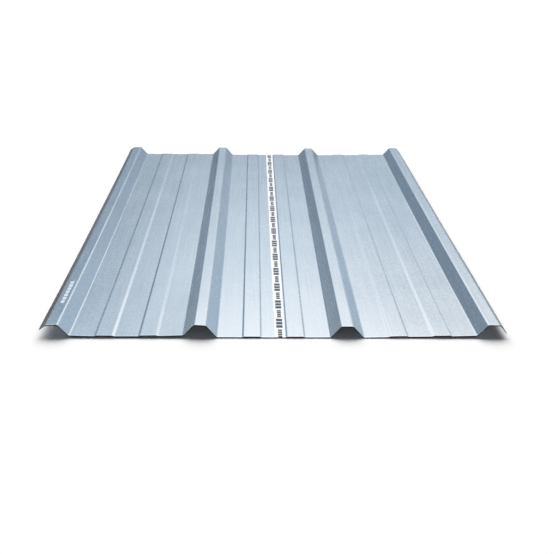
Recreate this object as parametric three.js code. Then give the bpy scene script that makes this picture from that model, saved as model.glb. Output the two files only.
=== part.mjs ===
// A trapezoidal ("box-rib") roofing sheet: one length of coated steel strip, roll-formed cold.
//
// The whole sheet is one constant section drawn across X and carried along Y. Four tall ribs
// stiffen it, three flat pans lie between them, and each pan has two low stiffening beads.
// The first rib has a short outer leg and laps over the last rib of the next sheet, whose
// outer leg is longer. The pans rest on Z = 0 and the ribs stand up from them.

import * as THREE from "three";

// ---- Driving dimensions, in millimetres ----

const sheetLength = 1830; // a 6 ft stock length
const sheetThickness = 0.5; // coated steel strip, about 26 gauge
const coverWidth = 1010; // what one laid sheet covers: first rib centre to last rib centre
const ribCount = 4;

// The rib is measured on the middle of the metal, to the sharp corners before bending.
const ribHeight = 27;
const ribCrestWidth = 28;
const ribBaseWidth = 76;
const ribBendRadius = 2.5; // inside the bend

// The low beads, measured the same way.
const beadsPerPan = 2;
const beadSpacing = 100; // centre to centre, across one pan
const beadCrestWidth = 37;
const beadBaseWidth = 45;
const beadHeight = 1.8;
const beadBendRadius = 4;

// The open legs outside the first and last ribs.
const lapLegRun = 14; // the short leg of the rib that laps over
const lapLegDrop = 9.5;
const seatLegRun = 15; // the long leg of the rib that is lapped
const seatLegDrop = 18.5;

const bendShareOfFlat = 0.48; // the most of a flat that the bend at one end may take up
const arcSegments = 2; // pairs of facets in each bend

// ---- Sizes worked out from the driving dimensions ----

const ribPitch = coverWidth / (ribCount - 1);
const firstRibX = -coverWidth / 2;
const lastRibX = coverWidth / 2;
const halfThickness = sheetThickness / 2;

// ---- The middle line of the metal, as corners with a bend radius at each ----

function corner(x, height, bendRadius) {
  return { point: new THREE.Vector2(x, height), bendRadius };
}

// The four corners of a rib or bead that stands on the pan: foot, shoulder, shoulder, foot.
function raisedCorners(centreX, crestWidth, baseWidth, height, bendRadius) {
  return [
    corner(centreX - baseWidth / 2, 0, bendRadius),
    corner(centreX - crestWidth / 2, height, bendRadius),
    corner(centreX + crestWidth / 2, height, bendRadius),
    corner(centreX + baseWidth / 2, 0, bendRadius),
  ];
}

function ribCorners(centreX) {
  return raisedCorners(centreX, ribCrestWidth, ribBaseWidth, ribHeight, ribBendRadius);
}

// The beads of the pan that follows a rib, spread evenly about the middle of the pan.
function panCorners(ribX) {
  const panCentreX = ribX + ribPitch / 2;
  const corners = [];
  for (let bead = 0; bead < beadsPerPan; bead++) {
    const beadX = panCentreX + (bead - (beadsPerPan - 1) / 2) * beadSpacing;
    corners.push(
      ...raisedCorners(beadX, beadCrestWidth, beadBaseWidth, beadHeight, beadBendRadius),
    );
  }
  return corners;
}

// The full section from the free edge of the lap leg to the free edge of the seat leg.
function sectionCorners() {
  const corners = [];
  for (let rib = 0; rib < ribCount; rib++) {
    const ribX = firstRibX + rib * ribPitch;
    corners.push(...ribCorners(ribX));
    if (rib < ribCount - 1) {
      corners.push(...panCorners(ribX));
    }
  }
  const lapEdge = corner(
    firstRibX - ribCrestWidth / 2 - lapLegRun,
    ribHeight - lapLegDrop,
    0,
  );
  const seatEdge = corner(
    lastRibX + ribCrestWidth / 2 + seatLegRun,
    ribHeight - seatLegDrop,
    0,
  );
  // The outer feet of the first and last ribs are not formed: the legs end above the pan.
  corners[0] = lapEdge;
  corners[corners.length - 1] = seatEdge;
  return corners;
}

// ---- From corners to the solid outline of the metal ----

// The bend at a corner: an arc about one centre, which both faces of the metal share.
function bendAt(before, here, after) {
  const arriving = here.point.clone().sub(before.point);
  const leaving = after.point.clone().sub(here.point);
  const shorterFlat = Math.min(arriving.length(), leaving.length());
  arriving.normalize();
  leaving.normalize();
  const turn = Math.atan2(arriving.cross(leaving), arriving.dot(leaving));
  const side = Math.sign(turn); // 1 where the sheet turns upwards, -1 where it turns down
  const halfAngle = Math.abs(turn) / 2;
  const wantedRadius = here.bendRadius + halfThickness;
  const largestRadius = (bendShareOfFlat * shorterFlat) / Math.tan(halfAngle);
  const radius = Math.min(wantedRadius, largestRadius);
  const startNormal = new THREE.Vector2(-arriving.y, arriving.x);
  const endNormal = new THREE.Vector2(-leaving.y, leaving.x);
  const start = here.point.clone().addScaledVector(arriving, -radius * Math.tan(halfAngle));
  return {
    centre: start.addScaledVector(startNormal, side * radius),
    radius,
    side,
    startAngle: startNormal.multiplyScalar(-side).angle(),
    endAngle: endNormal.multiplyScalar(-side).angle(),
  };
}

// One face of the metal at a free edge of the sheet, square to the leg that it ends.
function edgePoint(edge, inner, faceOffset) {
  const alongX = inner.point.clone().sub(edge.point);
  const leftToRight = alongX.x > 0 ? alongX.normalize() : alongX.normalize().negate();
  const normal = new THREE.Vector2(-leftToRight.y, leftToRight.x);
  return edge.point.clone().addScaledVector(normal, faceOffset);
}

function sheetSection() {
  const corners = sectionCorners();
  const last = corners.length - 1;
  const bends = [];
  for (let i = 1; i < last; i++) {
    bends.push(bendAt(corners[i - 1], corners[i], corners[i + 1]));
  }

  const outline = new THREE.Shape();
  const lapUpper = edgePoint(corners[0], corners[1], halfThickness);
  const lapLower = edgePoint(corners[0], corners[1], -halfThickness);
  const seatLower = edgePoint(corners[last], corners[last - 1], -halfThickness);
  const seatUpper = edgePoint(corners[last], corners[last - 1], halfThickness);

  // Down the lap edge, then along the underside to the seat edge.
  outline.moveTo(lapUpper.x, lapUpper.y);
  outline.lineTo(lapLower.x, lapLower.y);
  for (const { centre, radius, side, startAngle, endAngle } of bends) {
    const faceRadius = radius + side * halfThickness;
    outline.absarc(centre.x, centre.y, faceRadius, startAngle, endAngle, side < 0);
  }
  outline.lineTo(seatLower.x, seatLower.y);

  // Up the seat edge, then back along the top face, so each arc runs the other way.
  outline.lineTo(seatUpper.x, seatUpper.y);
  for (const { centre, radius, side, startAngle, endAngle } of bends.toReversed()) {
    const faceRadius = radius - side * halfThickness;
    outline.absarc(centre.x, centre.y, faceRadius, endAngle, startAngle, side > 0);
  }
  outline.closePath();
  return outline;
}

// ---- The sheet ----

const zincAluminiumCoatedSteel = new THREE.MeshStandardMaterial({
  color: 0xb3c2cf,
  roughness: 0.34,
  metalness: 1,
});

// The section is extruded along its own Z, then turned so that its height is Z and its run is Y.
function makeCorrugatedSheet() {
  const geometry = new THREE.ExtrudeGeometry(sheetSection(), {
    depth: sheetLength,
    bevelEnabled: false,
    curveSegments: arcSegments,
  });
  geometry.computeBoundingBox();
  const middle = geometry.boundingBox.getCenter(new THREE.Vector3());
  const mesh = new THREE.Mesh(geometry, zincAluminiumCoatedSteel);
  mesh.name = "corrugated_sheet";
  mesh.rotation.x = Math.PI / 2;
  // The two legs differ, so the sheet's middle is half their difference from the ribs' middle.
  mesh.position.set(-middle.x, sheetLength / 2, halfThickness);
  return mesh;
}

const group = new THREE.Group();
group.add(makeCorrugatedSheet());

export default group;
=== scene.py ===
# %% [markdown]
# # A box-rib roofing sheet in a white studio
# The object is one length of steel strip, coated with zinc and aluminium and roll-formed cold
# into tall ribs and flat pans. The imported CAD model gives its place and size. This script keeps
# to that frame and adds what CAD leaves out: wider bends, a rolled surface that is never quite
# flat, the coating's crystals, the printed stripe and the sheared ends.

import math

import bpy
from mathutils import Matrix, Vector, noise


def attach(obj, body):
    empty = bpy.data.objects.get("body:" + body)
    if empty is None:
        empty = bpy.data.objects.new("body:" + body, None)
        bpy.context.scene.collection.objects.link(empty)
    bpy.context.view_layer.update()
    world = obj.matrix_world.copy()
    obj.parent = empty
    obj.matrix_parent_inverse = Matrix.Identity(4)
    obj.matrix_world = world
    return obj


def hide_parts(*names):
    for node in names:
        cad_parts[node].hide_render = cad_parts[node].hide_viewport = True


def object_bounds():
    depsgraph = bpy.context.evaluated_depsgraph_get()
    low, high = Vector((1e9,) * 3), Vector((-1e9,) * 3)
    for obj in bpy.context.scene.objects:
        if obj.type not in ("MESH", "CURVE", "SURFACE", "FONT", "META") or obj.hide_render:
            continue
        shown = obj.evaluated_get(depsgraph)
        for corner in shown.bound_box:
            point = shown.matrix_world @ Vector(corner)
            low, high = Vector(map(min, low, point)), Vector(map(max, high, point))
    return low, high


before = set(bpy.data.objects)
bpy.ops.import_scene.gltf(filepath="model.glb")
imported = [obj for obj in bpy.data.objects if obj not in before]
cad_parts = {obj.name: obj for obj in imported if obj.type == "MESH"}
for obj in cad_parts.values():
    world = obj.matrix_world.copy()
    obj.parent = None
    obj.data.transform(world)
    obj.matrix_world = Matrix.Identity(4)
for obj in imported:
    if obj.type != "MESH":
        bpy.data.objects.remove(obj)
cad_low, cad_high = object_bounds()
print("CAD box in mm:", [round(1000 * side, 2) for side in cad_high - cad_low])

# %% [markdown]
# ## The camera
# A sheet this long is best seen from one end, a little above it, so that the ribs run away
# from the eye and show their section at the near end. A constraint could aim the camera at the
# sheet, but three angles are plainer: how far it turns, how far it looks down, and a small
# roll, because a camera held in the hand is never quite level. The Standard view shows colours
# as they are written.

# %% Place the camera
IMAGE_SIDE = 554
SENSOR_WIDTH = 36.0
FOCAL_PIXELS = 1020.0
CAMERA_PLACE = Vector((-0.0474, -3.0600, 0.9251))
TURN_RIGHT = math.radians(1.4083)
LOOK_DOWN = math.radians(19.877)
ROLL = math.radians(0.603)

camera_data = bpy.data.cameras.new("studio_camera")
camera_data.sensor_width = SENSOR_WIDTH
camera_data.lens = SENSOR_WIDTH * FOCAL_PIXELS / IMAGE_SIDE
camera = bpy.data.objects.new("studio_camera", camera_data)
bpy.context.scene.collection.objects.link(camera)
level_aim = Matrix.Rotation(-TURN_RIGHT, 4, "Z") @ Matrix.Rotation(math.pi / 2 - LOOK_DOWN, 4, "X")
camera.matrix_world = Matrix.Translation(CAMERA_PLACE) @ level_aim @ Matrix.Rotation(ROLL, 4, "Z")
bpy.context.scene.camera = camera
bpy.context.scene.view_settings.view_transform = "Standard"
print("lens: %.1f mm" % camera_data.lens)

# %% [markdown]
# ## The section
# A roll-forming mill bends flat strip a little more at each pair of rolls, so the sheet has one
# section from end to end. It is drawn as a line along the middle of the metal: first its sharp
# corners, then a bend at each. The sizes are the ones that a maker would quote, in millimetres.

# %% Name the sizes of the section
MM = 0.001  # in metres, which Blender counts in
THICKNESS = 0.5
COVER_WIDTH = 1010  # first rib to last: what one laid sheet covers
RIB_COUNT = 4
RIB_HEIGHT = 27
RIB_CREST = 28
RIB_BASE = 76
BEAD_SPACING = 100
BEAD_CREST = 37
BEAD_BASE = 45
BEAD_HEIGHT = 1.8
LAP_LEG_RUN, LAP_LEG_DROP = 14, 9.5
SEAT_LEG_RUN, SEAT_LEG_DROP = 15, 18.5

HALF_THICKNESS = THICKNESS / 2
RIB_PITCH = COVER_WIDTH / (RIB_COUNT - 1)
print("rib pitch: %.1f mm" % RIB_PITCH)

# %% [markdown]
# A rib and a low bead have the same four corners: a foot, two shoulders and a foot. The ribs
# are bent round a wide radius, which gives each fold a line of light wide enough to see from a
# few metres off. A bead is so low that only its sides show, as thin lines, so each side has its
# own run, from foot to shoulder, and its own bend.

# %% Draw the corners of a rib and of a bead
RIB_FOOT_BEND, RIB_SHOULDER_BEND = 6, 7
STEEP_SIDE = {"run": 3.4, "bend": 2.5}
EVEN_SIDE = {"run": 4.0, "bend": 2.5}
LOW_SIDE = {"run": 6.0, "bend": 2.5}
SOFT_SIDE = {"run": 6.2, "bend": 7}


def rib_corners(centre):
    """Foot, shoulder, shoulder, foot, each with its bend radius."""
    return [
        (Vector((centre - RIB_BASE / 2, 0)), RIB_FOOT_BEND),
        (Vector((centre - RIB_CREST / 2, RIB_HEIGHT)), RIB_SHOULDER_BEND),
        (Vector((centre + RIB_CREST / 2, RIB_HEIGHT)), RIB_SHOULDER_BEND),
        (Vector((centre + RIB_BASE / 2, 0)), RIB_FOOT_BEND),
    ]


def bead_corners(centre, left, right):
    """The same four corners for a low bead, whose sides keep their middles where the CAD has them."""
    half_width = (BEAD_CREST + BEAD_BASE) / 4  # to the middle of a side
    return [
        (Vector((centre - half_width - left["run"] / 2, 0)), left["bend"]),
        (Vector((centre - half_width + left["run"] / 2, BEAD_HEIGHT)), left["bend"]),
        (Vector((centre + half_width - right["run"] / 2, BEAD_HEIGHT)), right["bend"]),
        (Vector((centre + half_width + right["run"] / 2, 0)), right["bend"]),
    ]


print("a rib's side: %.0f mm across and %.0f mm up" % ((RIB_BASE - RIB_CREST) / 2, RIB_HEIGHT))
print("a bead's even side: %.0f mm across and %.1f mm up" % (EVEN_SIDE["run"], BEAD_HEIGHT))

# %% [markdown]
# The ribs stand at an even pitch, with two beads in each pan between them. The rolls work from
# the middle of the strip outwards, and the steel slides towards the middle as it is drawn up
# into the ribs. So in the two outer pans each bead comes out crisp on its outer side and softer
# on the side that faces the middle of the sheet.
#
# Each edge of the sheet is a leg, where a rib would have its outer foot. The first rib's leg is
# the shorter, and laps over the last rib of the next sheet. So short a leg is easily bent, and
# the crest beside it leans outwards a little.

# %% Draw the sharp corners
SIDES_OF_BEADS = ((EVEN_SIDE, LOW_SIDE), (EVEN_SIDE, EVEN_SIDE), (SOFT_SIDE, STEEP_SIDE))
LAP_CREST_LEAN = 1.4


def sheet_corners():
    """Every corner of the section, from the free edge of the lap leg to that of the seat leg."""
    corners = []
    for rib in range(RIB_COUNT):
        rib_x = rib * RIB_PITCH - COVER_WIDTH / 2
        corners += rib_corners(rib_x)
        if rib < RIB_COUNT - 1:
            left, right = SIDES_OF_BEADS[rib]
            pan_x = rib_x + RIB_PITCH / 2
            corners += bead_corners(pan_x - BEAD_SPACING / 2, left, right)
            corners += bead_corners(pan_x + BEAD_SPACING / 2, left, right)
    # The outer feet of the first and last ribs are not formed: the legs end above the floor.
    lap_shoulder = corners[1][0] - Vector((0, LAP_CREST_LEAN))
    corners[1] = (lap_shoulder, RIB_SHOULDER_BEND)
    corners[0] = (lap_shoulder - Vector((LAP_LEG_RUN, LAP_LEG_DROP)), 0)
    seat_shoulder = corners[-2][0]
    corners[-1] = (seat_shoulder + Vector((SEAT_LEG_RUN, -SEAT_LEG_DROP)), 0)
    return corners


print("corners in the section:", len(sheet_corners()))

# %% [markdown]
# Each corner becomes an arc, because steel that is folded sharply cracks its coating. On a
# shiny sheet these arcs matter more than their size suggests: each sweeps through a wide range
# of reflections in a few millimetres, which is what draws a bright or a dark line along every
# fold. A Bevel modifier could round the finished mesh, but each edge would need a weight to get
# its own radius, so the arcs are worked out here. The flats between them are cut into short
# steps, so that they can bow a little.

# %% Round the corners
BEND_SHARE_OF_FLAT = 0.48  # the most of a flat that the bend at one end may take up
DEGREES_PER_FACET = 7
FLAT_STEP = 9
HOLD = 0.7  # from each bend to the first point of a flat
SHORTEST_CUT_FLAT = 6 * HOLD  # a shorter flat stays in one piece


def bend_points(before, corner, after, radius):
    """The points of the arc that rounds one corner, from its first tangent to its last."""
    arriving, leaving = corner - before, after - corner
    shorter = min(arriving.length, leaving.length)
    turn = -arriving.angle_signed(leaving)  # Blender counts a clockwise turn as positive
    half_tangent = math.tan(abs(turn) / 2)
    radius = min(radius + HALF_THICKNESS, BEND_SHARE_OF_FLAT * shorter / half_tangent)
    start = corner - arriving.normalized() * radius * half_tangent
    side = math.copysign(1, turn)
    centre = start + Vector((-arriving.y, arriving.x)).normalized() * side * radius
    facets = max(2, round(math.degrees(abs(turn)) / DEGREES_PER_FACET))
    return [
        centre + Matrix.Rotation(turn * step / facets, 2) @ (start - centre)
        for step in range(facets + 1)
    ]


def flat_points(start, end):
    """The points inside a flat: one beside each bend, and even steps between those two."""
    length = (end - start).length
    if length < SHORTEST_CUT_FLAT:
        return []
    steps = max(1, round((length - 2 * HOLD) / FLAT_STEP))
    places = [HOLD + (length - 2 * HOLD) * step / steps for step in range(steps + 1)]
    return [start.lerp(end, place / length) for place in places]


foot, shoulder, next_shoulder = [corner[0] for corner in rib_corners(0)[:3]]
shoulder_arc = bend_points(foot, shoulder, next_shoulder, RIB_SHOULDER_BEND)
print("points round a rib's shoulder:", len(shoulder_arc))

# %% [markdown]
# Now the line can be drawn from edge to edge. The frame's origin is midway between the sheet's
# two outer edges, so the line is shifted until its left edge meets the left of the CAD box. The
# lap leg is cut square to its slope, so the upper corner of that edge stands out past the
# middle of the metal by a fraction of the thickness.

# %% Draw the section as one line
def section_line():
    """The middle of the metal as one line of points, with its underside at height 0."""
    corners = sheet_corners()
    stretches = [[corners[0][0]]]
    for index in range(1, len(corners) - 1):
        before, after = corners[index - 1][0], corners[index + 1][0]
        corner, radius = corners[index]
        stretches.append(bend_points(before, corner, after, radius))
    stretches.append([corners[-1][0]])
    line = []
    for stretch, following in zip(stretches, stretches[1:]):
        line += stretch + flat_points(stretch[-1], following[0])
    line += stretches[-1]
    lap_overhang = HALF_THICKNESS * math.sin(math.atan2(LAP_LEG_DROP, LAP_LEG_RUN))
    shift = cad_low.x / MM - (line[0].x - lap_overhang)
    return [Vector((point.x + shift, point.y + HALF_THICKNESS)) for point in line]


section = section_line()
print("points in the section:", len(section))
print("from x = %.2f to %.2f mm" % (section[0].x, section[-1].x))

# %% [markdown]
# ## The sheet
# The line is carried along Y as a grid of faces. Extruding a curve would be quicker, but then
# every section would be the same, and real sheet is never so true. The rolls leave the wide
# flats slightly bowed, which roofers call oil canning: a few tenths of a millimetre over a
# hand's width. It can't be seen as a shape, but a long reflection wanders because of it.

# %% Bow the flats
BOW_HEIGHT = 0.3
BOW_MEAN = 0.5  # a share of that height, since noise swings evenly about zero
BOW_ACROSS, BOW_ALONG = 95, 310
SAMPLE_STEP = 50

half_length = (cad_high.y - cad_low.y) / MM / 2
middle_y = (cad_high.y + cad_low.y) / MM / 2


def bow(x, y):
    """How far the flats bow above the true section, in millimetres."""
    return BOW_HEIGHT * (BOW_MEAN + noise.noise(Vector((x / BOW_ACROSS, y / BOW_ALONG, 0.0))))


sample_rows = range(round(-half_length), round(half_length), SAMPLE_STEP)
samples = [bow(point.x, y) for point in section for y in sample_rows]
print("bow in mm: %.2f to %.2f" % (min(samples), max(samples)))

# %% [markdown]
# Strip comes off a coil with a memory of it, so the ends of a sheet lift by a few millimetres,
# least in the middle pan, and the free edge of the last rib springs up a little. The cut also
# lets go the stresses that the rolls left. Over the last few hands' widths the ribs rise, sink
# and tip, each by its own amount, and the pans between them bow. This is called end flare.

# %% Lift and flare the ends
END_LIFT = 3.4
MIDDLE_SAG, SAG_PLACE, SAG_REACH = 0.25, 40, 260
EDGE_SPRING, SPRING_START = 4.0, 380
FLARE_REACH = 420
FLARE_CURVE = 1.5  # the power by which the flare grows towards the cut
FLARE_OF_FEET = ((2.4, 3.2), (4.4, 0.0), (-0.2, -0.8), (2.4, -3.0))  # left and right, rib by rib
FLARE_OF_PANS = (-2.6, -0.4, 0.4)  # in the middle of each pan, from the line between its ribs
FAR_END_SHARE = 0.6


def flare(x):
    """The rise of a cut end: each rib tips as one stiff piece, and each pan bows between two."""
    place = (x + COVER_WIDTH / 2 + RIB_BASE / 2) / RIB_PITCH
    rib = min(max(int(place), 0), RIB_COUNT - 1)
    from_foot = (place - rib) * RIB_PITCH
    left, right = FLARE_OF_FEET[rib]
    if from_foot <= RIB_BASE:
        return left + (right - left) * from_foot / RIB_BASE
    share = (from_foot - RIB_BASE) / (RIB_PITCH - RIB_BASE)
    level = right + (FLARE_OF_FEET[rib + 1][0] - right) * share
    return level + FLARE_OF_PANS[rib] * 4 * share * (1 - share)  # 4s(1 - s) is 1 halfway across


def lift(x, y):
    """How far the ends and the free edge stand up, with the middle pan sagging to the floor."""
    sag = MIDDLE_SAG * math.exp(-(((x - SAG_PLACE) / SAG_REACH) ** 2))
    spring = max(0.0, (x - SPRING_START) / (cad_high.x / MM - SPRING_START))
    nearness = max(0.0, 1 - (half_length - abs(y)) / FLARE_REACH) ** FLARE_CURVE
    flared = flare(x) * nearness * (FAR_END_SHARE if y > 0 else 1.0)
    return END_LIFT * (1 - sag) * (y / half_length) ** 2 + EDGE_SPRING * spring**2 + flared


end_rises = [lift(point.x, -half_length) for point in section]
print("near end stands up by %.1f to %.1f mm" % (min(end_rises), max(end_rises)))

# %% [markdown]
# A guillotine pushes the top of the sheet down as it bites, so the last few millimetres roll
# over, and it drags a burr down below the cut. The burr is drawn taller than the tenth of a
# millimetre it would be, and it wears the near-black cut material, so that the cut shows as a
# dark line from this far away: painted shade, which stands in for the shadow under the edge.
# Rows of faces stand close together there and further apart along the rest.

# %% Space the rows along the sheet
LONG_STEP = 20
ROLLOVER_LENGTH, ROLLOVER_DEPTH = 4.0, 0.3
BURR_HEIGHT = 1.9
END_STEPS = (0.0, 0.1, 0.8, 1.6, 2.4, 3.2, 4.0, 6.0, 12.0)


def rollover(from_end):
    """How far the sheared end dips, in millimetres. Only the row at the cut itself has the burr."""
    rolled = ROLLOVER_DEPTH * max(0.0, 1 - from_end / ROLLOVER_LENGTH) ** 2
    return rolled + (BURR_HEIGHT if from_end < END_STEPS[1] / 2 else 0.0)


inner_half = half_length - END_STEPS[-1]
long_rows = round(2 * inner_half / LONG_STEP)
row_places = [step - half_length for step in END_STEPS[:-1]]
row_places += [2 * inner_half * row / long_rows - inner_half for row in range(long_rows + 1)]
row_places += [half_length - step for step in reversed(END_STEPS[:-1])]
print("rows:", len(row_places))

# %% [markdown]
# The grid has no thickness of its own. A Solidify modifier gives it the metal's, half to each
# side, and closes it along all four edges. Each face has a number that says which material it
# wears: the upper face, the under face or the cut. The modifier adds one offset to that number
# on the underside and another on the closed edges.

# %% Build the sheet
UPPER_SLOT, UNDER_SLOT, CUT_SLOT = 0, 1, 2

vertices = []
for row_y in row_places:
    dip = rollover(half_length - abs(row_y))
    for point in section:
        rise = max(0.0, bow(point.x, row_y)) + lift(point.x, row_y) - dip
        vertices.append((point.x * MM, (middle_y + row_y) * MM, (point.y + rise) * MM))

across = len(section)
last_row = len(row_places) - 2
faces = []
slots = []
for row in range(last_row + 1):
    for column in range(across - 1):
        near = row * across + column
        far = near + across
        faces.append((near, near + 1, far + 1, far))
        slots.append(CUT_SLOT if row in (0, last_row) else UPPER_SLOT)

sheet_mesh = bpy.data.meshes.new("roofing_sheet")
sheet_mesh.from_pydata(vertices, [], faces)
sheet_mesh.polygons.foreach_set("use_smooth", [slot != CUT_SLOT for slot in slots])
sheet = bpy.data.objects.new("roofing_sheet", sheet_mesh)
bpy.context.scene.collection.objects.link(sheet)

metal = sheet.modifiers.new("metal_thickness", "SOLIDIFY")
metal.thickness = THICKNESS * MM
metal.offset = 0
metal.use_even_offset = True
metal.material_offset = UNDER_SLOT
metal.material_offset_rim = CUT_SLOT
print("faces of the middle line:", len(faces))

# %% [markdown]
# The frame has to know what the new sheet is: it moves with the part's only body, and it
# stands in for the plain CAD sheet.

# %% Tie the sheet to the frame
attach(sheet, "root")
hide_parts("corrugated_sheet")
print("tied to the frame:", sheet.name)

# %% [markdown]
# ## Tools for the materials
# Colours are written as hex, as a paint chart gives them, and turned to the linear values that
# light adds up in. One function adds any node, sets it up and links it. A Mix node has sockets
# for every kind of value: 2 and 3 are its two numbers, 6 and 7 its two colours, and a mixed
# colour comes out of output 2.

# %% Colour and node helpers
def colour(hex_code):
    """An sRGB hex colour as linear red, green, blue and alpha."""
    channels = [int(hex_code[place : place + 2], 16) / 255 for place in (1, 3, 5)]
    linear = [c / 12.92 if c <= 0.04045 else ((c + 0.055) / 1.055) ** 2.4 for c in channels]
    return (*linear, 1.0)


def add(tree, kind, inputs=None, **settings):
    """Adds a node. inputs maps a socket's name or number to a value, or to what feeds it."""
    made = tree.nodes.new("ShaderNode" + kind)
    for name, value in settings.items():
        setattr(made, name, value)
    for name, value in (inputs or {}).items():
        if isinstance(value, bpy.types.Node):
            value = value.outputs[0]
        if isinstance(value, bpy.types.NodeSocket):
            tree.links.new(value, made.inputs[name])
        else:
            made.inputs[name].default_value = value
    return made


def new_material(name):
    """An empty material and its node tree."""
    material = bpy.data.materials.new(name)
    material.use_nodes = True
    material.node_tree.nodes.clear()
    return material, material.node_tree


print("mid grey, #808080, is %.3f in linear light" % colour("#808080")[0])

# %% [markdown]
# ## Zinc-aluminium coated steel
# The strip runs through a bath of molten zinc and aluminium, and the coating freezes into flat
# crystals, the spangle, one to three millimetres across. Each crystal lies at its own angle, so
# each is a touch lighter or darker. Then smooth rolls press the strip, which leaves fine marks
# along its length. The eye reads both as a soft satin shine, bluish where it is in shade.
#
# A tiled picture of spangle would show its repeat on a sheet this long. A Voronoi texture makes
# cells of any size from a formula and never repeats, so it draws the crystals. Noise that is
# stretched along the sheet draws the marks, and wide noise draws faint clouds. Each pattern's
# size is in millimetres, across, along and up.

# %% Crystals and rolling marks
SPANGLE_SIZE = (4.0, 4.0, 4.0)  # real ones are 1 to 3 mm: drawn coarser, or a pixel holds several
ROLL_MARK_SIZE = (5.0, 260.0, 5.0)  # real ones are about 1 mm wide: drawn coarser for the same reason
CLOUD_SIZE = (170.0, 170.0, 170.0)


def scale_for(sizes):
    """What a place in metres is multiplied by to count it in pattern sizes instead."""
    return [1 / (MM * size) for size in sizes]


def coating_patterns(tree):
    """The patterns that the coating's colour and gloss share, each from 0 to 1."""
    place = add(tree, "TexCoord").outputs["Object"]
    spangle_place = add(tree, "Mapping", {0: place, "Scale": scale_for(SPANGLE_SIZE)})
    spangle = add(tree, "TexVoronoi", {"Vector": spangle_place, "Scale": 1.0})
    mark_place = add(tree, "Mapping", {0: place, "Scale": scale_for(ROLL_MARK_SIZE)})
    cloud_place = add(tree, "Mapping", {0: place, "Scale": scale_for(CLOUD_SIZE)})
    return {
        "crystals": add(tree, "SeparateColor", {0: spangle.outputs["Color"]}),
        "marks": add(tree, "TexNoise", {"Vector": mark_place, "Scale": 1.0, "Detail": 3.0}),
        "clouds": add(tree, "TexNoise", {"Vector": cloud_place, "Scale": 1.0, "Detail": 2.0}),
    }


def spread(tree, patterns, ranges):
    """Stretches each pattern from 0 to 1 over its own range, and adds them all up."""
    total = 0.0
    for name, (low, high) in ranges.items():
        ends = {"Value": patterns[name], "To Min": low, "To Max": high}
        total = add(tree, "Math", {0: total, 1: add(tree, "MapRange", ends)}, operation="ADD")
    return total


print("crystals along the sheet: about %d" % (2 * half_length / SPANGLE_SIZE[1]))

# %% [markdown]
# ### The two faces
# The upper face carries the print. The under face is the same coating, a little duller because
# it rubs on the sheet below it in the stack. The metal has no colour of its own beyond its
# reflection, so its base colour is how much red, green and blue it sends back: a pale grey that
# leans to blue.

# %% Make the coating
COATING_DARK = colour("#A9B8C6")
COATING_LIGHT = colour("#BFCCD8")
COLOUR_RANGES = {"crystals": (-0.15, 0.15), "marks": (0.0, 0.6), "clouds": (0.0, 0.4)}
GLOSS_RANGES = {"crystals": (-0.03, 0.03), "marks": (-0.05, 0.05), "clouds": (-0.03, 0.03)}
UPPER_ROUGHNESS = 0.24
UNDER_ROUGHNESS = 0.30
SPANGLE_BUMP = 0.02  # how proud a crystal stands, in millimetres
BUMP_STRENGTH = 0.12


def coated_steel(name, roughness):
    """The coating as a material, with its tree and its shader for a print to go over."""
    material, tree = new_material(name)
    patterns = coating_patterns(tree)
    share = spread(tree, patterns, COLOUR_RANGES)
    shade = add(tree, "Mix", {0: share, 6: COATING_DARK, 7: COATING_LIGHT}, data_type="RGBA")
    unevenness = spread(tree, patterns, GLOSS_RANGES)
    gloss = add(tree, "Math", {0: unevenness, 1: roughness}, operation="ADD")
    relief = {"Height": patterns["crystals"], "Strength": BUMP_STRENGTH, "Distance": SPANGLE_BUMP * MM}
    coating = {
        "Base Color": shade.outputs[2],
        "Metallic": 1.0,
        "Roughness": gloss,
        "Normal": add(tree, "Bump", relief),
    }
    shader = add(tree, "BsdfPrincipled", coating)
    add(tree, "OutputMaterial", {"Surface": shader})
    return material, tree, shader


upper_face, upper_tree, upper_shader = coated_steel("zinc_aluminium_coating_printed", UPPER_ROUGHNESS)
under_face = coated_steel("zinc_aluminium_coating_back", UNDER_ROUGHNESS)[0]
print("coating sends back at most:", [round(c, 2) for c in COATING_LIGHT[:3]])

# %% [markdown]
# ### The printed stripe
# Mills print a white band along a sheet, with marks that repeat at an even distance. Ink is not
# metal: it scatters light, so it stays white where the steel reflects the dark of the room.
# It could be a thin piece on top of the sheet, but it has no thickness that shows. So it is a
# mask in the upper face's material, 1 where there is ink and 0 where there is steel.
#
# Plain bars stand in the band at an even pitch, which lets a fitter count off lengths. A few
# white ticks stand on the crest of the first rib too, at the near end, to tell it from the last
# one when the sheets are laid. A run of bars is laid out from its middle, across and along the
# sheet, in millimetres.

# %% Lay out the print
STRIPE_LEFT = 1.5
STRIPE_WIDTH = 25.3
MARK_PITCH = 123.0
ONE_RUN_ONLY = 4 * half_length  # a pitch longer than the sheet
BLOCKS = {"middle": (STRIPE_LEFT + 12.4, -830.0), "width": 14.5, "length": 60.0, "bars": 3}
TICKS = {"middle": (STRIPE_LEFT + 13.0, -892.0), "width": 9.5, "length": 50.0, "bars": 4}
LAP_TICKS = {"middle": (-505.5, -695.0), "width": 9.0, "length": 160.0, "bars": 7}
BAR_SHARE = 0.8  # of the room that a bar has: the rest is the gap before the next
PITCHES_BEFORE = 50


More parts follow.
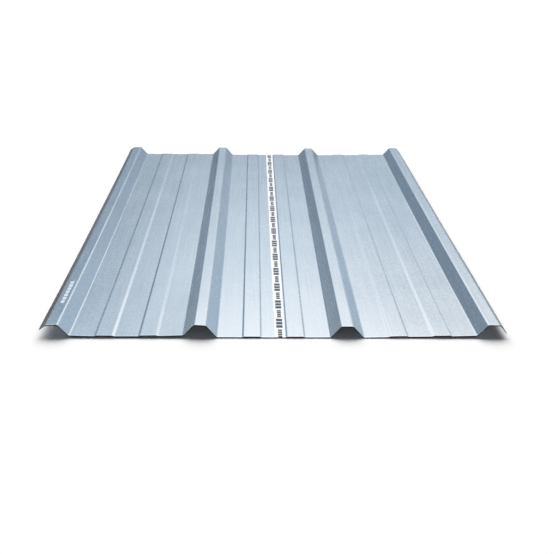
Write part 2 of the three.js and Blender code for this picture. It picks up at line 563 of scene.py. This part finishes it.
def row_of_bars(tree, x, y, middle, width, length, bars, pitch):
    """1 on a run of bars across a band, which comes again at each pitch along the sheet."""
    start = middle[1] - length / 2
    # The remainder of a negative number is negative, so whole pitches keep the place above zero.
    from_start = add(tree, "Math", {0: y, 1: PITCHES_BEFORE * pitch - start}, operation="ADD")
    along = add(tree, "Math", {0: from_start, 1: pitch}, operation="MODULO")
    in_run = add(tree, "Math", {0: along, 1: length}, operation="LESS_THAN")
    room = length / bars
    in_room = add(tree, "Math", {0: along, 1: room}, operation="MODULO")
    bar = {0: in_room, 1: room / 2, 2: BAR_SHARE * room / 2}
    in_bar = add(tree, "Math", bar, operation="COMPARE")
    in_band = add(tree, "Math", {0: x, 1: middle[0], 2: width / 2}, operation="COMPARE")
    bar_in_run = add(tree, "Math", {0: in_run, 1: in_bar}, operation="MULTIPLY")
    return add(tree, "Math", {0: bar_in_run, 1: in_band}, operation="MULTIPLY")


millimetres = {0: add(upper_tree, "TexCoord").outputs["Object"], "Scale": scale_for((1, 1, 1))}
print_place = add(upper_tree, "SeparateXYZ", {0: add(upper_tree, "Mapping", millimetres)})
x_mm, y_mm = print_place.outputs[0], print_place.outputs[1]
blocks = row_of_bars(upper_tree, x_mm, y_mm, **BLOCKS, pitch=MARK_PITCH)
ticks = row_of_bars(upper_tree, x_mm, y_mm, **TICKS, pitch=MARK_PITCH)
lap_ticks = row_of_bars(upper_tree, x_mm, y_mm, **LAP_TICKS, pitch=ONE_RUN_ONLY)
print("stripe from x = %.1f to %.1f mm" % (STRIPE_LEFT, STRIPE_LEFT + STRIPE_WIDTH))

# %% [markdown]
# The ink goes over the coating in three places: its colour over the metal's colour, its matt
# finish over the metal's gloss, and no metal where the ink covers it. Whatever feeds the shader
# now becomes the bare side of a mix, and the ink becomes the other side.

# %% Ink the upper face
INK_WHITE = colour("#ECEFF2")
INK_SLATE = colour("#10344A")
INK_GREY = colour("#24272B")
INK_ROUGHNESS = 0.5
LAP_INK_COVER = 0.6  # sprayed thinly, so some steel shows through

ink = add(upper_tree, "Mix", {0: blocks, 6: INK_WHITE, 7: INK_SLATE}, data_type="RGBA")
ink = add(upper_tree, "Mix", {0: ticks, 6: ink.outputs[2], 7: INK_GREY}, data_type="RGBA")
stripe = {0: x_mm, 1: STRIPE_LEFT + STRIPE_WIDTH / 2, 2: STRIPE_WIDTH / 2}
in_stripe = add(upper_tree, "Math", stripe, operation="COMPARE")
lap_ink = add(upper_tree, "Math", {0: lap_ticks, 1: LAP_INK_COVER}, operation="MULTIPLY")
inked = add(upper_tree, "Math", {0: in_stripe, 1: lap_ink}, operation="ADD")

bare_colour = upper_shader.inputs["Base Color"].links[0].from_socket
bare_gloss = upper_shader.inputs["Roughness"].links[0].from_socket
over_colour = {0: inked, 6: bare_colour, 7: ink.outputs[2]}
printed_colour = add(upper_tree, "Mix", over_colour, data_type="RGBA")
printed_gloss = add(upper_tree, "Mix", {0: inked, 2: bare_gloss, 3: INK_ROUGHNESS})
metal_share = add(upper_tree, "Math", {0: 1.0, 1: inked}, operation="SUBTRACT")
upper_tree.links.new(printed_colour.outputs[2], upper_shader.inputs["Base Color"])
upper_tree.links.new(printed_gloss.outputs[0], upper_shader.inputs["Roughness"])
upper_tree.links.new(metal_share.outputs[0], upper_shader.inputs["Metallic"])
print("nodes of the upper face:", len(upper_tree.nodes))

# %% [markdown]
# ### The sheared ends
# A guillotine cuts the formed sheet to length and leaves bare steel, scored by the blade. Its
# colours here are near black, far darker than the coating: painted shade, which stands in for the
# shadow along the cut ends. It is thin, yet it draws the section as one dark line. The faces of
# the cut are there already, so a material of their own is all that they need: fine noise stands
# for the score marks.

# %% Make the cut steel
# Both colours are painted shade: near black, where bare cut steel would be a mid grey.
CUT_PAINTED_SHADE_DARK = colour("#0E0F10")
CUT_PAINTED_SHADE_LIGHT = colour("#202224")
CUT_SMOOTHEST, CUT_ROUGHEST = 0.32, 0.55
SCORE_SIZE = (2.5, 2.5, 2.5)  # real ones are under half a millimetre: they would average out
SCORE_DEPTH = 0.05

cut_edge, cut_tree = new_material("sheared_steel_painted_shade")
cut_scale = {0: add(cut_tree, "TexCoord").outputs["Object"], "Scale": scale_for(SCORE_SIZE)}
cut_place = add(cut_tree, "Mapping", cut_scale)
scores = add(cut_tree, "TexNoise", {"Vector": cut_place, "Scale": 1.0})
cut_painted_shade = add(cut_tree, "Mix", {0: scores, 6: CUT_PAINTED_SHADE_DARK, 7: CUT_PAINTED_SHADE_LIGHT}, data_type="RGBA")
cut_gloss = {"Value": scores, "To Min": CUT_SMOOTHEST, "To Max": CUT_ROUGHEST}
cut_steel = {
    "Base Color": cut_painted_shade.outputs[2],
    "Metallic": 1.0,
    "Roughness": add(cut_tree, "MapRange", cut_gloss),
    "Normal": add(cut_tree, "Bump", {"Height": scores, "Distance": SCORE_DEPTH * MM}),
}
add(cut_tree, "OutputMaterial", {"Surface": add(cut_tree, "BsdfPrincipled", cut_steel)})

for material in (upper_face, under_face, cut_edge):
    sheet_mesh.materials.append(material)
sheet_mesh.polygons.foreach_set("material_index", slots)
print("materials on the sheet:", [m.name for m in sheet_mesh.materials])

# %% [markdown]
# ## The studio
# Shiny metal is lit by what it reflects. The room is white, so the world is white where the
# camera or a reflection sees it. Where it lights a surface it is dim, because the key lamp adds
# nearly all of that light, and because a dim room leaves the gap under the sheet dark. Together
# they light a level surface by about one, so paint looks as written. A Light Path node tells
# the two kinds of ray apart.

# %% Set the world
SEEN_WHITE = 1.0
WORLD_LIGHT = 0.08


def seen_share(tree):
    """1 for a ray from the camera, a reflection or glass, and 0 for light on its way to a surface."""
    path = add(tree, "LightPath")
    total = 0.0
    for kind_of_ray in ("Is Camera Ray", "Is Glossy Ray", "Is Transmission Ray"):
        total = add(tree, "Math", {0: total, 1: path.outputs[kind_of_ray]}, operation="ADD")
    return add(tree, "Clamp", {0: total})


world = bpy.data.worlds.new("white_room")
world.use_nodes = True
world_tree = world.node_tree
world_tree.nodes.clear()
room_light = add(world_tree, "Background", {"Color": colour("#F6F8FF"), "Strength": WORLD_LIGHT})
room_seen = add(world_tree, "Background", {"Color": colour("#FFFFFF"), "Strength": SEEN_WHITE})
room = add(world_tree, "MixShader", {0: seen_share(world_tree), 1: room_light, 2: room_seen})
add(world_tree, "OutputWorld", {"Surface": room})
bpy.context.scene.world = world
print("world nodes:", len(world_tree.nodes))

# %% [markdown]
# ### The floor
# The floor is matt white paper. A studio curves it up into a backdrop, but here the world is
# white already, so a flat sheet that reaches far past the picture is enough. A trace of glow,
# which only the camera and reflections see, lifts the paper to a clean white and leaves the
# shadow in it.

# %% Lay the floor
FLOOR_REACH = 60.0
FLOOR_GLOW = 0.02


def flat_piece(name, corners, material):
    """One flat face from its four corners, which belongs to the studio and not to the sheet."""
    mesh = bpy.data.meshes.new(name)
    mesh.from_pydata(corners, [], [(0, 1, 2, 3)])
    mesh.materials.append(material)
    piece = bpy.data.objects.new(name, mesh)
    bpy.context.scene.collection.objects.link(piece)
    return piece


def level_corners(left, right, front, back, height):
    """The four corners of a level rectangle, anticlockwise from above."""
    return [
        (left, front, height),
        (right, front, height),
        (right, back, height),
        (left, back, height),
    ]


paper, paper_tree = new_material("matt_white_paper")
paper_body = {"Base Color": colour("#FBFBFB"), "Roughness": 0.9, "Specular IOR Level": 0.1}
paper_face = add(paper_tree, "BsdfPrincipled", paper_body)
glow_share = {0: seen_share(paper_tree), 1: FLOOR_GLOW}
glow_strength = add(paper_tree, "Math", glow_share, operation="MULTIPLY")
paper_glow = add(paper_tree, "Emission", {"Strength": glow_strength})
glowing_paper = add(paper_tree, "AddShader", {0: paper_face, 1: paper_glow})
add(paper_tree, "OutputMaterial", {"Surface": glowing_paper})
floor_corners = level_corners(-FLOOR_REACH, FLOOR_REACH, -FLOOR_REACH, FLOOR_REACH, 0)
floor = flat_piece("studio_floor", floor_corners, paper)
print("%s: %.0f m square" % (floor.name, 2 * FLOOR_REACH))

# %% [markdown]
# ### The film behind the sheet
# The pans are seen at a shallow angle, so they mirror whatever stands far behind the sheet.
# Lamps there would show as patches with hard edges, so a wide film hangs there instead, lit
# from behind. Low down it is blue-grey, warmer at the far left and brighter to the right; high
# up it is white on the left and warm on the right; and one lamp glows in its middle. That
# gradient is what turns the near end of each pan almost white, the far end blue-grey, and the
# left sides of the ribs slate.
#
# The film is five plain lights with soft fades between them. Each fade runs along an axis of
# the room, 0 for across and 2 for up, from one place to another, in metres.

# %% Light the film
FILM_LIGHTS = {
    "far left": ("#DBC8A0", 1.0),
    "low middle": ("#92A1B0", 1.0),
    "low right": ("#D5E4EF", 1.0),
    "top left": ("#E9F7FF", 1.27),
    "top right": ("#FFF0E4", 2.24),
}
FILM_FADES = {
    "from far left": (0, -8.0, -2.0),
    "to low right": (0, -0.1, 3.1),
    "across top": (0, -2.1, -0.2),
    "upwards": (2, 2.86, 3.85),
}

film, film_tree = new_material("backlit_diffusion_film")
film_place = add(film_tree, "TexCoord").outputs["Object"]
film_parts = add(film_tree, "SeparateXYZ", {0: film_place})
light = {}
for name, (hex_code, strength) in FILM_LIGHTS.items():
    light[name] = add(film_tree, "Emission", {"Color": colour(hex_code), "Strength": strength})
fade = {}
for name, (axis, start, end) in FILM_FADES.items():
    reach = {"Value": film_parts.outputs[axis], "From Min": start, "From Max": end}
    fade[name] = add(film_tree, "MapRange", reach, interpolation_type="SMOOTHSTEP")

low_left = {0: fade["from far left"], 1: light["far left"], 2: light["low middle"]}
low_all = {0: fade["to low right"], 1: add(film_tree, "MixShader", low_left), 2: light["low right"]}
low_part = add(film_tree, "MixShader", low_all)
top_all = {0: fade["across top"], 1: light["top left"], 2: light["top right"]}
top_part = add(film_tree, "MixShader", top_all)
spread_light = add(film_tree, "MixShader", {0: fade["upwards"], 1: low_part, 2: top_part})
print("lights in the film:", len(light))

# %% [markdown]
# The lamp's glow fades with the distance from its place. To make the glow wider than it is
# high, the film is squeezed across before that distance is measured. A second film like it
# hangs at the other end, too far off for the lamp's glow, so that the sheet has shape from the
# back too. Both are out of the camera's sight and light nothing: only reflections see them.

# %% Hang the film
FILM_DISTANCE = 7.0
FILM_LEFT, FILM_RIGHT, FILM_TOP = -16.0, 14.0, 8.0
LAMP_HEIGHT = 2.66
LAMP_SPREAD = 1.70
LAMP_SQUEEZE = 0.65
LAMP_GLOW = 0.87


def only_reflected(piece):
    """Leaves a piece to reflections: out of the camera's sight, and no light or shade from it."""
    piece.visible_camera = False
    piece.visible_diffuse = False
    piece.visible_shadow = False


squeezed = add(film_tree, "Mapping", {0: film_place, "Scale": (LAMP_SQUEEZE, 1.0, 1.0)})
to_lamp = {0: squeezed, 1: (0.0, FILM_DISTANCE, LAMP_HEIGHT)}
from_lamp = add(film_tree, "VectorMath", to_lamp, operation="DISTANCE").outputs["Value"]
glow_reach = {"Value": from_lamp, "From Min": LAMP_SPREAD, "From Max": 0.0}
lamp_share = add(film_tree, "MapRange", glow_reach, interpolation_type="SMOOTHSTEP")
lamp_strength = add(film_tree, "Math", {0: lamp_share, 1: LAMP_GLOW}, operation="MULTIPLY")
lamp_light = add(film_tree, "Emission", {"Color": colour("#FCFFFC"), "Strength": lamp_strength})
film_light = add(film_tree, "AddShader", {0: spread_light, 1: lamp_light})
add(film_tree, "OutputMaterial", {"Surface": film_light})

for film_name, film_y in (("rear_film", FILM_DISTANCE), ("front_film", -FILM_DISTANCE)):
    film_corners = [
        (FILM_LEFT, film_y, 0.0),
        (FILM_RIGHT, film_y, 0.0),
        (FILM_RIGHT, film_y, FILM_TOP),
        (FILM_LEFT, film_y, FILM_TOP),
    ]
    only_reflected(flat_piece(film_name, film_corners, film))
print("film: %.0f m wide and %.0f m tall" % (FILM_RIGHT - FILM_LEFT, FILM_TOP))

# %% [markdown]
# ### The cloths on the floor
# The sides of the ribs and the cut ends tip a reflection down to the floor. White paper there
# would wash them out, so cloths lie all round the sheet: black in front and at the rear left,
# dark at both sides, and grey behind it and at the rear right. Studios use black flags in the
# same way, to draw a dark line round bright metal. A darker floor would do it too, but then the
# camera would see it.

# %% Lay the cloths
CLOTH_HEIGHT = 0.001
CLOTH_GAP = 0.02
SIDE_REACH = 4.0


def cloth(name, hex_code, left, right, front, back):
    """A cloth on the floor, which only reflections see."""
    material, tree = new_material(name + "_felt")
    shown = add(tree, "Emission", {"Color": colour(hex_code), "Strength": 1.0})
    add(tree, "OutputMaterial", {"Surface": shown})
    only_reflected(flat_piece(name, level_corners(left, right, front, back, CLOTH_HEIGHT), material))


beside_left, beside_right = cad_low.x - CLOTH_GAP, cad_high.x + CLOTH_GAP
before, behind = cad_low.y - CLOTH_GAP, cad_high.y + CLOTH_GAP
cloth("rear_left_cloth", "#191919", FILM_LEFT, cad_low.x, behind, FILM_DISTANCE)
cloth("rear_cloth", "#818C95", cad_low.x, cad_high.x, behind, FILM_DISTANCE)
cloth("rear_right_cloth", "#A29E9A", cad_high.x, FILM_RIGHT, behind, FILM_DISTANCE)
cloth("left_cloth", "#584547", -SIDE_REACH, beside_left, before, behind)
cloth("right_cloth", "#606264", beside_right, SIDE_REACH, before, behind)
cloth("front_cloth", "#1E1E1F", FILM_LEFT, FILM_RIGHT, -FILM_DISTANCE, before)
print("gap between the sheet and the cloths beside it: %.0f mm" % (CLOTH_GAP / MM))

# %% [markdown]
# ### The key light
# One lamp gives the light its direction. A softbox would light the near end of so long a sheet
# more than the far end, or the other way round, so a sun lamp stands in for a very large one a
# long way off. Its light comes from behind, a little from the left, and its wide angle blurs
# the edge of the shadow as a softbox does. Reflections don't see it.

# %% Hang the key light
KEY_LIGHT = 4.12
KEY_WIDTH = math.radians(80)
KEY_FROM = Vector((-0.1, 0.85, 0.95))

key_data = bpy.data.lights.new("key_light", "SUN")
key_data.energy = KEY_LIGHT
key_data.angle = KEY_WIDTH
key = bpy.data.objects.new("key_light", key_data)
bpy.context.scene.collection.objects.link(key)
key.rotation_euler = KEY_FROM.to_track_quat("Z", "Y").to_euler()
key.visible_glossy = False
level_light = WORLD_LIGHT + KEY_LIGHT * KEY_FROM.normalized().z / math.pi
print("light on a level surface, where 1 is white: %.2f" % level_light)
